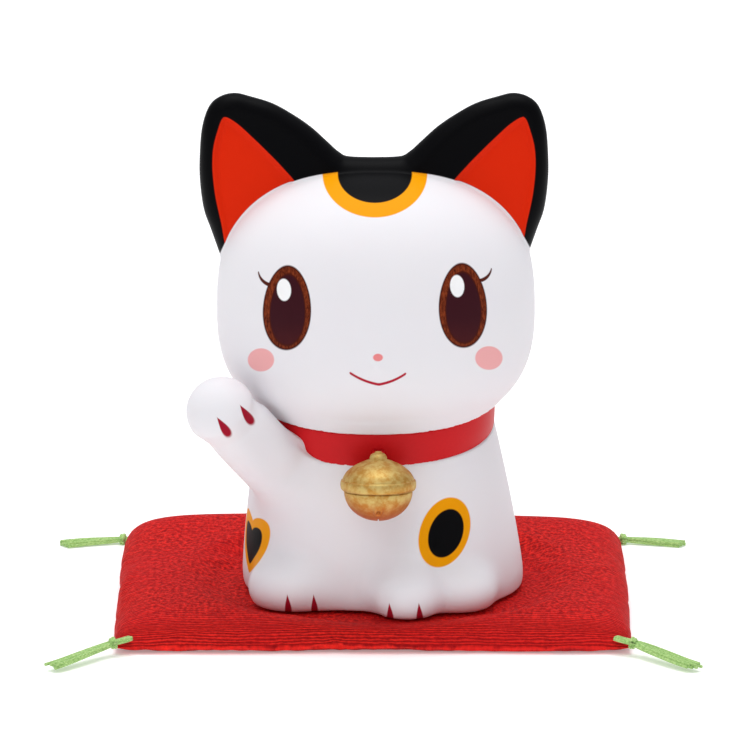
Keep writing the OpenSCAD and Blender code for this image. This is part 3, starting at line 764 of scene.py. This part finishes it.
# The heart on the right thigh and its dark middle, as they show from the front
HEART = [
    (-25.9, -31.49), (-25.43, -30.96), (-24.41, -30.74), (-23.24, -31.17), (-22.34, -32.13),
    (-21.97, -33.56), (-22.13, -35.43), (-22.82, -37.55), (-24.15, -39.79), (-25.64, -41.6),
    (-26.7, -42.45), (-28.14, -40.74), (-28.94, -35.96), (-28.67, -31.17), (-27.61, -28.51),
    (-26.54, -28.24), (-26.17, -29.57),
]
HEART_MIDDLE = [
    (-25.96, -33.4), (-25.53, -32.87), (-24.79, -32.77), (-24.04, -33.3), (-23.72, -34.36),
    (-23.83, -35.85), (-24.41, -37.55), (-25.43, -39.26), (-26.49, -40.53), (-27.61, -38.62),
    (-28.24, -35.43), (-27.98, -32.77), (-27.34, -31.17), (-26.6, -30.96), (-26.17, -31.97),
]
HEART_TURN = -1.237  # the heart's middle, as an angle round the body; its far half mirrors the near one


def build_body():
    low = box_mm("body_shell")[0] + [-2.0, -2.0, -1.5]
    high = box_mm("body_shell")[1] + [2.0, 2.0, 2.0]
    points, faces = skin_of(body_field, low, high, GRAIN)
    body = piece("body_skin", points, faces, body_finish(), "figure", ["body_shell"], "body_vinyl")
    across, up = stencil(points)
    front = -slope_of(body_field, points)[:, 1]
    attribute(body, "stencil", np.stack([across, up, front], axis=1))
    x, y, z = points.T
    level = np.clip((z - BASE_Z) / BODY_H, 0, 1)
    middle_x, middle_y = NECK[0] + HAUNCH_SHIFT[0] * (1 - level), NECK[1] + HAUNCH_SHIFT[1] * (1 - level)
    turned = np.arctan2(x - middle_x, middle_y - y)
    mirror = 2 * HEART_TURN - turned
    reach = np.hypot(x - middle_x, y - middle_y)
    reach = reach * plan_radius(mirror, *BODY_HALF) / plan_radius(turned, *BODY_HALF)
    mirrored = np.stack([middle_x + reach * np.sin(mirror), middle_y - reach * np.cos(mirror), z], axis=1)
    across, up = stencil(np.where((turned < HEART_TURN)[:, None], mirrored, points))
    for name, knots in (("heart", HEART), ("heart_middle", HEART_MIDDLE)):
        outline = flat_distance(closed_curve(knots), (-40, -50), (-14, -20), 0.2)
        attribute(body, name, -outline(across, up))


BAND_PROUD, BAND_BULGE, BAND_EDGE = 0.3, 0.12, 0.45
DIP_OUT, DIP_DOWN = 0.5, 0.45  # how far the band's foot leans out and down at the front


def build_collar():
    """The band: a rounded oblong carried round the neck's outline, in the neck's frame. Its foot leans out
    and down by cos(a)^4 at an angle a from the front."""
    arc = np.linspace(0, np.pi / 2, 5)

    def turn(out, up, first):
        return [(out + BAND_EDGE * np.cos(a + first), up + BAND_EDGE * np.sin(a + first)) for a in arc]

    outer, inner = BAND_PROUD - BAND_EDGE, -BAND_T + BAND_EDGE
    foot, top = BAND_FOOT + BAND_EDGE, BAND_TOP - BAND_EDGE
    outline = turn(outer, foot, -np.pi / 2) + [(BAND_PROUD + BAND_BULGE, BAND_TOP * 0.5)]
    outline += turn(outer, top, 0) + turn(inner, top, np.pi / 2) + turn(inner, foot, np.pi)
    out, height = np.array(outline).T[:, :, None]
    a = np.linspace(-np.pi, np.pi, 160, endpoint=False)
    dip = (height < BAND_TOP * 0.6) * np.maximum(np.cos(a), 0) ** 4
    radius = plan_radius(a, *NECK_HALF)[None, :] + out + DIP_OUT * dip
    x, y = radius * np.sin(a), -radius * np.cos(a)
    up = height - DIP_DOWN * dip * (1 - height / BAND_TOP)
    points = NECK + x[..., None] * [1.0, 0, 0] + y[..., None] * NECK_BACK + up[..., None] * NECK_UP
    rows, columns = x.shape
    faces = grid_faces(rows, columns)
    last = (rows - 1) * columns
    faces += [[last + j, last + (j + 1) % columns, (j + 1) % columns, j] for j in range(columns)]
    piece("collar_ring", points.reshape(-1, 3), faces, RED_BAND, "figure", ["collar_band"], "collar_vinyl")


# ---------------------------------------------------------------- bell

BAR = np.array(JOINTS["bell_swing"]["pos_m"]) * MM
BELL_LEAN = np.radians(7.0)
SEAM_DROP = 6.8
BOWL_R, BOWL_DEEP, HALF_WALL = 7.15, 6.25, 0.35
SLIT_HALF, SLIT_DEEP, HOLE_AT, HOLE_R, LIP_R, LIP_THICK = (0.12, 3.4), 0.4, 6.0, 0.42, 0.6, 0.4
# Radius and height of the dome with its rolled rim, and of the knob on top, from the loop's bar
DOME = [
    (0.0, 0.1), (1.8, -0.15), (3.3, -0.7), (4.7, -1.35), (5.8, -2.1), (6.75, -3.0), (7.25, -3.8),
    (7.45, -4.25), (7.48, -4.42), (7.76, -4.55), (7.9, -5.05), (7.9, -5.7), (7.75, -6.3), (7.4, -6.65),
    (6.9, -6.72), (6.4, -6.0), (4.0, -3.6), (0.0, -2.6),
]
KNOB = [
    (0.0, -1.4), (2.4, -1.2), (2.7, -0.7), (2.0, -0.4), (1.8, -0.1), (1.8, 0.3), (1.5, 0.85),
    (1.05, 1.12), (0.8, 1.2), (0.72, 1.38), (0.42, 1.52), (0.0, 1.55),
]
CORD_R, CORD_OUT, BOWL_GRAIN = 0.4, 0.9, 0.18


def in_bell(local):
    """From the bell's leaning frame, with its origin on the loop's bar, to the model's frame."""
    c, s = np.cos(BELL_LEAN), np.sin(BELL_LEAN)
    x, y, z = local[..., 0], local[..., 1], local[..., 2]
    return BAR + np.stack([x, y * c + z * s, -y * s + z * c], axis=-1)


def bowl_field(x, y, z):
    """The bowl of the bell in its own frame: half an ellipsoid with a wall, a narrow slit sunk in it, and a
    round hole beyond each end of the slit, the front one with a raised lip."""
    h = z + SEAM_DROP
    flat = np.hypot(x, y)
    outer = (np.sqrt((flat / BOWL_R) ** 2 + (h / BOWL_DEEP) ** 2) - 1) * BOWL_DEEP
    shell = smooth_max(np.abs(outer + HALF_WALL) - HALF_WALL, h, 0.15)
    lip = np.hypot(np.hypot(x, y + HOLE_AT) - LIP_R, outer) - LIP_THICK
    shell = smooth_min(shell, np.where(h < 0, lip, 9.0), 0.35)
    slit = np.maximum(np.abs(x) - SLIT_HALF[0], np.abs(y) - SLIT_HALF[1])
    slit = np.minimum(slit, np.hypot(x, np.abs(y) - HOLE_AT) - HOLE_R)
    return smooth_max(shell, -np.maximum(slit, -SLIT_DEEP - outer), 0.1)


def build_bell():
    lathes = [lathe(smooth_profile(DOME, 6)[::-1], 96, in_bell), lathe(smooth_profile(KNOB, 6), 48, in_bell)]
    points, faces = skin_of(bowl_field, [-8.2, -8.2, -14.0], [8.2, 8.2, -6.4], BOWL_GRAIN)
    piece("bell_dome", *joined(lathes), GOLD, "bell", ["bell_upper_shell"], "gilt")
    piece("bell_bowl", in_bell(points), faces, GOLD, "bell", ["bell_lower_shell"], "gilt")
    back = box_mm("bell_loop")[1][1] - BAR[1]
    leg = np.array([[CORD_OUT, back, -0.2], [CORD_OUT, 0.8, -0.1], [0.6, 0, 0]])
    cord = np.concatenate([leg * [-1, 1, 1], leg[::-1]])
    points, faces = closed_grid(tube(BAR + cord, np.full(len(cord), CORD_R), 10))
    piece("bell_cord", points, faces, RED_BAND, "figure", ["bell_loop"], "collar_cord")


def smooth_profile(knots, steps):
    """An open smooth curve through a profile's knots, kept on its own side of the axis."""
    p = np.asarray(knots, dtype=float)
    p = np.concatenate([2 * p[:1] - p[1:2], p, 2 * p[-1:] - p[-2:-1]])
    curve = catmull_rom(*(p[k : len(p) - 3 + k][:, None, :] for k in range(4)), steps)
    curve = np.concatenate([curve, p[-2:-1]])
    curve[:, 0] = np.maximum(curve[:, 0], 0)
    return curve


# ---------------------------------------------------------------- cushion

HALF_W, HALF_D, _ = box_mm("cushion_top_cover")[1]
SEAM_Z, CROWN_Z, SEAT_Z = 2.5, 8.9, 5.0
SIDE_OUT, SIDE_BOW, REAR_DROP = 0.8, 0.35, 1.5  # sides out, bowed between the corners, rear corners lower
REAR_PUFF, PUFF_AT, PUFF_WIDE = 2.0, 0.82, 0.3
SEAT_ROOM, SEAT_EDGE = 4.0, 9.0
PRESSURE, STIFFNESS, SHRINK, CLOTH_FRAMES, PLUMP_CAP = 4.0, 0.2, -0.03, 20, 1.4


def from_seat(x, y):
    """Distance outside the figure's outline where it sinks into the cushion."""
    return body_plan(x, y, np.full_like(x, BASE_Z + 7.0))


def cushion_shape(u, v, upper):
    """The cushion before it is plumped, for u and v of -1 to 1. The sides bow in between the corners. The
    top is at seam + (crown - seam) rise, with rise = sqrt((1 - |u|^11) (1 - |v|^7.5)) and a crown that is
    higher by p exp(-((v - a) / w)^2) along the rear, and it sinks to the seat under the figure."""
    x = u * (HALF_W + SIDE_OUT - SIDE_BOW * (1 - v * v))
    y = v * (HALF_D - SIDE_BOW * (1 - u * u))
    rise = np.sqrt(np.maximum(0, 1 - np.abs(u) ** 11) * np.maximum(0, 1 - np.abs(v) ** 7.5))
    seam = SEAM_Z - REAR_DROP * smooth_step((v + 0.2) / 1.2) * np.abs(u) ** 12
    if not upper:
        return np.stack([x, y, seam * (1 - smooth_step(1.3 * rise))], axis=-1)
    puff = REAR_PUFF * np.exp(-(((v - PUFF_AT) / PUFF_WIDE) ** 2)) * (1 - u**4 * 0.4) * (1 - 0.25 * u)
    full = seam + (CROWN_Z + puff - seam) * rise
    hollow = 1 - smooth_step((from_seat(x, y) - SEAT_ROOM) / SEAT_EDGE)
    return np.stack([x, y, full + (np.minimum(SEAT_Z, full) - full) * hollow], axis=-1)


def plump(cushion):
    """Blows the cushion up a little as cloth, held under the figure and along its underside, and keeps the
    wrinkles that this makes. A move of m becomes m c / (c + m) for c = PLUMP_CAP, and none goes under the
    table."""
    mesh = cushion.data
    rest = np.empty(len(mesh.vertices) * 3)
    mesh.vertices.foreach_get("co", rest)
    rest = rest.reshape(-1, 3) * MM
    moved = rest
    cloth_object = bpy.data.objects.new("plumping", mesh.copy())
    bpy.context.scene.collection.objects.link(cloth_object)
    x, y, z = rest.T
    seat = 1 - smooth_step((from_seat(x, y) - 1.0) / 6.0)
    underside = (z < 0.4) * 1.0
    held = np.round(np.maximum(seat, underside), 1)
    group = cloth_object.vertex_groups.new(name="held")
    for weight in np.unique(held):
        group.add(np.flatnonzero(held == weight).tolist(), float(weight), "REPLACE")
    cloth = cloth_object.modifiers.new("cloth", "CLOTH")
    cloth.settings.vertex_group_mass = "held"
    cloth.settings.use_pressure = True
    cloth.settings.uniform_pressure_force = PRESSURE
    cloth.settings.effector_weights.gravity = 0.0
    cloth.settings.quality = 5
    cloth.settings.bending_stiffness = STIFFNESS
    cloth.settings.shrink_min = SHRINK
    cloth.point_cache.frame_end = CLOTH_FRAMES
    for step in range(1, CLOTH_FRAMES + 1):
        bpy.context.scene.frame_set(step)
    shaped = cloth_object.evaluated_get(bpy.context.evaluated_depsgraph_get()).to_mesh()
    moved = np.empty(len(rest) * 3)
    shaped.vertices.foreach_get("co", moved)
    moved = moved.reshape(-1, 3) * MM
    bpy.data.objects.remove(cloth_object)
    bpy.context.scene.frame_set(1)
    shift = moved - rest
    size = np.linalg.norm(shift, axis=1)[:, None]
    points = rest + shift * PLUMP_CAP / (PLUMP_CAP + size)
    points[:, 2] = np.maximum(points[:, 2], 0)
    mesh.vertices.foreach_set("co", (points / MM).ravel())
    mesh.update()


def build_cushion():
    """Top and underside on one grid of u and v, denser towards the edges, and joined along the seam."""
    columns, rows = ((108, 88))
    ease = lambda n: np.sin(np.linspace(-1, 1, n + 1) * np.pi / 2 * 0.86) / np.sin(np.pi / 2 * 0.86)
    u, v = np.meshgrid(ease(columns), ease(rows), indexing="ij")
    top, under = cushion_shape(u, v, True), cushion_shape(u, v, False)
    n, m = u.shape
    number = np.arange(n * m).reshape(n, m)
    below = number + n * m
    rim = np.zeros((n, m), bool)
    rim[[0, -1], :] = rim[:, [0, -1]] = True
    below[rim] = number[rim]
    quad = lambda k: np.stack([k[:-1, :-1], k[1:, :-1], k[1:, 1:], k[:-1, 1:]], axis=-1).reshape(-1, 4)
    faces = np.concatenate([quad(number), quad(below)[:, ::-1]])
    points = np.concatenate([top.reshape(-1, 3), under.reshape(-1, 3)])
    used = np.unique(faces)
    renumber = np.zeros(len(points), int)
    renumber[used] = np.arange(len(used))
    points, faces = points[used], renumber[faces]
    cushion = piece("cushion_crepe", points, faces, CREPE, "cushion",
                    ["cushion_top_cover", "cushion_bottom_cover", "cushion_filling"], "crepe")
    x, y, z = points.T
    roll = 1 - smooth_step((HALF_D - np.abs(y) - 1.0) / 5.0)
    run = y + np.where(y < 0, 1.0, -1.0) * (z - CROWN_Z) * roll
    edge_in = np.minimum(HALF_D - np.abs(y), HALF_W - np.abs(x) + 2.0)
    attribute(cushion, "weft", np.stack([x, run, smooth_step((edge_in - 2.0) / 10.0)], axis=1))
    plump(cushion)
    levels = cushion.modifiers.new("finer", "SUBSURF")
    levels.levels = levels.render_levels = 1


# ---------------------------------------------------------------- tassels


STRANDS, STRAND_R, LAYER, WRAP_R = 18, 0.34, 0.34, 0.42
ABOVE_TABLE = 0.02


def tassel(route, knot_at, side, seed):
    """Strands of yarn from the cushion's corner, held by a wound knot and fanning a little to cut ends. Each
    strand follows the route's smooth curve, at its own place across it, with its own slow sway."""
    rng = np.random.default_rng(seed)
    route = np.array(route, dtype=float)
    t = np.linspace(0, 1, 30)
    knots = np.linspace(0, 1, len(route))
    path = np.stack([np.interp(t, knots, route[:, k]) for k in range(3)], axis=1)
    kernel = np.ones(5) / 5
    pad = np.concatenate([np.repeat(path[:1], 2, axis=0), path, np.repeat(path[-1:], 2, axis=0)])
    path = np.stack([np.convolve(pad[:, k], kernel, "valid") for k in range(3)], axis=1)
    along = np.gradient(path, axis=0)
    along /= np.linalg.norm(along, axis=1)[:, None]
    across = np.cross(along, [0, 0, 1.0])
    across /= np.linalg.norm(across, axis=1)[:, None]
    rise = np.cross(across, along)
    parts = []
    for _ in range(STRANDS):
        w, h = rng.uniform(-1, 1), rng.uniform(-1, 1)
        spread = 0.5 + 0.95 * smooth_step(t * 1.1)
        sway = 0.16 * np.sin(t * rng.uniform(4, 8) + rng.uniform(0, 6)) * smooth_step(t * 2)
        end = 1 - 0.05 * rng.uniform(0, 1) - 0.035 * (w + 1)
        line = path + across * (w * spread + sway)[:, None] + rise * (h * LAYER * (0.7 + 0.3 * t))[:, None]
        line = np.stack([np.interp(t * end, t, line[:, i]) for i in range(3)], axis=1)
        parts.append(closed_grid(tube(line, np.full(len(t), STRAND_R), 6)))
    for turn, scale in ((0.0, 1.0), (0.55, 0.88)):
        a = np.linspace(0, 2 * np.pi, 25)
        centre = path[knot_at] + along[knot_at] * turn
        ring = np.cos(a)[:, None] * across[knot_at] + 0.85 * np.sin(a)[:, None] * rise[knot_at]
        parts.append(closed_grid(tube(centre + scale * 1.1 * ring, np.full(len(a), WRAP_R), 8)))
    points, faces = joined(parts)
    points = points * [side, 1, 1]
    points[:, 2] = np.maximum(points[:, 2], ABOVE_TABLE)  # the knot lies flat on the table
    if side < 0:
        faces = [f[::-1] for f in faces]
    return points, faces


# The right-hand tassels' middle lines, from the cushion's front and rear corner
FRONT = [
    (-3.6, 0.6, 1.0), (-2.4, -0.5, 0.9), (0.2, -0.8, 0.3), (1.8, -1.6, -0.1), (3.8, -3.8, -0.3),
    (7.4, -7.8, -0.7), (10.6, -11.2, -1.1), (13.8, -14.4, -1.2),
]
REAR = [
    (-1.4, -0.8, 0.1), (1.3, -0.4, 0.0), (4.2, -0.8, -0.1), (7.8, -1.4, -0.2), (11.0, -2.2, -0.3),
    (13.9, -3.2, -0.3),
]


def build_tassels():
    front = np.array([HALF_W + 0.5, -HALF_D, SEAM_Z])
    rear = np.array([HALF_W + 0.5, HALF_D, SEAM_Z - REAR_DROP])
    for name, route, knot_at, side, seed in (
        ("tassel_front_right", front + FRONT, 8, 1, 3), ("tassel_front_left", front + FRONT, 8, -1, 5),
        ("tassel_rear_right", rear + REAR, 3, 1, 7), ("tassel_rear_left", rear + REAR, 3, -1, 11),
    ):
        points, faces = tassel(route, knot_at, side, seed)
        piece(name.replace("tassel", "yarn"), points, faces, YARN, "cushion", [name], "yarn")


# ---------------------------------------------------------------- put together

RED_BAND, GOLD, CREPE, YARN = band_finish(), gold_finish(), crepe_finish(), yarn_finish()
build_head()
build_body()
build_collar()
build_bell()
build_cushion()
build_tassels()


def plain_finish(name, colour, second, rough, metal=0.0):
    """A plain moulded finish with a faint change of tone and grain."""
    f = Finish(name, Metallic=metal)
    grain = f.noise(f.place(), 1.5, 4.0, 0.6)
    f.colour(f.mix(grain, colour, second))
    f.rough(f.sum("ADD", rough, f.sum("MULTIPLY", grain, 0.15)))
    f.bump(grain, 0.2, 0.03)
    return f.material


for node, finish in (
    ("base_plug", plain_finish("plug_grey", tone(206, 202, 196), tone(190, 186, 180), 0.5)),
    ("bell_pellet", plain_finish("pellet_grey", tone(150, 150, 150), tone(120, 120, 120), 0.3, 0.9)),
):
    for k in range(len(frame["nodes"][node].material_slots)):
        frame["nodes"][node].material_slots[k].material = finish


def plane(name, half, material):
    """The table: a square lying at height 0."""
    mesh = bpy.data.meshes.new(name)
    corners = [(-half, -half, 0), (half, -half, 0), (half, half, 0), (-half, half, 0)]
    mesh.from_pydata(corners, [], [(0, 1, 2, 3)])
    mesh.materials.append(material)
    obj = bpy.data.objects.new(name, mesh)
    bpy.context.scene.collection.objects.link(obj)


glow = {"Emission_Color": (1.0, 1.0, 1.0, 1.0), "Emission_Strength": 0.25}
white = (0.93, 0.93, 0.93, 1.0)
floor_finish = Finish("floor_white", Base_Color=white, Roughness=0.9, Specular_IOR_Level=0.1, **glow)
plane("floor", 6.0, floor_finish.material)


def light(name, at, size, power, colour):
    """A square lamp aimed at the part."""
    data = bpy.data.lights.new(name, "AREA")
    data.energy, data.color, data.size = power, colour, size
    obj = bpy.data.objects.new(name, data)
    obj.location = at
    obj.rotation_euler = (Vector((0, 0, 0.05)) - Vector(at)).to_track_quat("-Z", "Y").to_euler()
    bpy.context.scene.collection.objects.link(obj)


light("key", (-0.35, -0.75, 0.95), 0.7, 1.6, (1.0, 0.985, 0.97))
light("top", (0.0, 0.1, 1.3), 1.0, 10.5, (1.0, 1.0, 1.0))
world = bpy.data.worlds.new("studio")
bpy.context.scene.world = world
world.use_nodes = True
sky = world.node_tree
backdrop = sky.nodes["Background"]
backdrop.inputs["Color"].default_value = (0.95, 0.96, 1.0, 1.0)
kinds = ("TexCoord", "SeparateXYZ", "MapRange")
direction, split, ramp = (sky.nodes.new(f"ShaderNode{kind}") for kind in kinds)
for name, value in (("From Min", 0.0), ("From Max", 1.0), ("To Min", 0.35), ("To Max", 0.72)):
    ramp.inputs[name].default_value = value
sky.links.new(direction.outputs["Generated"], split.inputs["Vector"])
sky.links.new(split.outputs["Z"], ramp.inputs["Value"])
sky.links.new(ramp.outputs["Result"], backdrop.inputs["Strength"])

camera = bpy.data.cameras.new("camera")
camera.sensor_width = 36.0
camera.lens = 36.0 * DISTANCE / VIEW_WIDTH
camera.clip_end = 20.0
eye_object = bpy.data.objects.new("camera", camera)
eye_object.location = EYE / MM
eye_object.rotation_euler = Vector(FORWARD).to_track_quat("-Z", "Y").to_euler()
bpy.context.scene.collection.objects.link(eye_object)
bpy.context.scene.camera = eye_object

bpy.context.scene.view_settings.view_transform = "Standard"
bpy.context.view_layer.update()
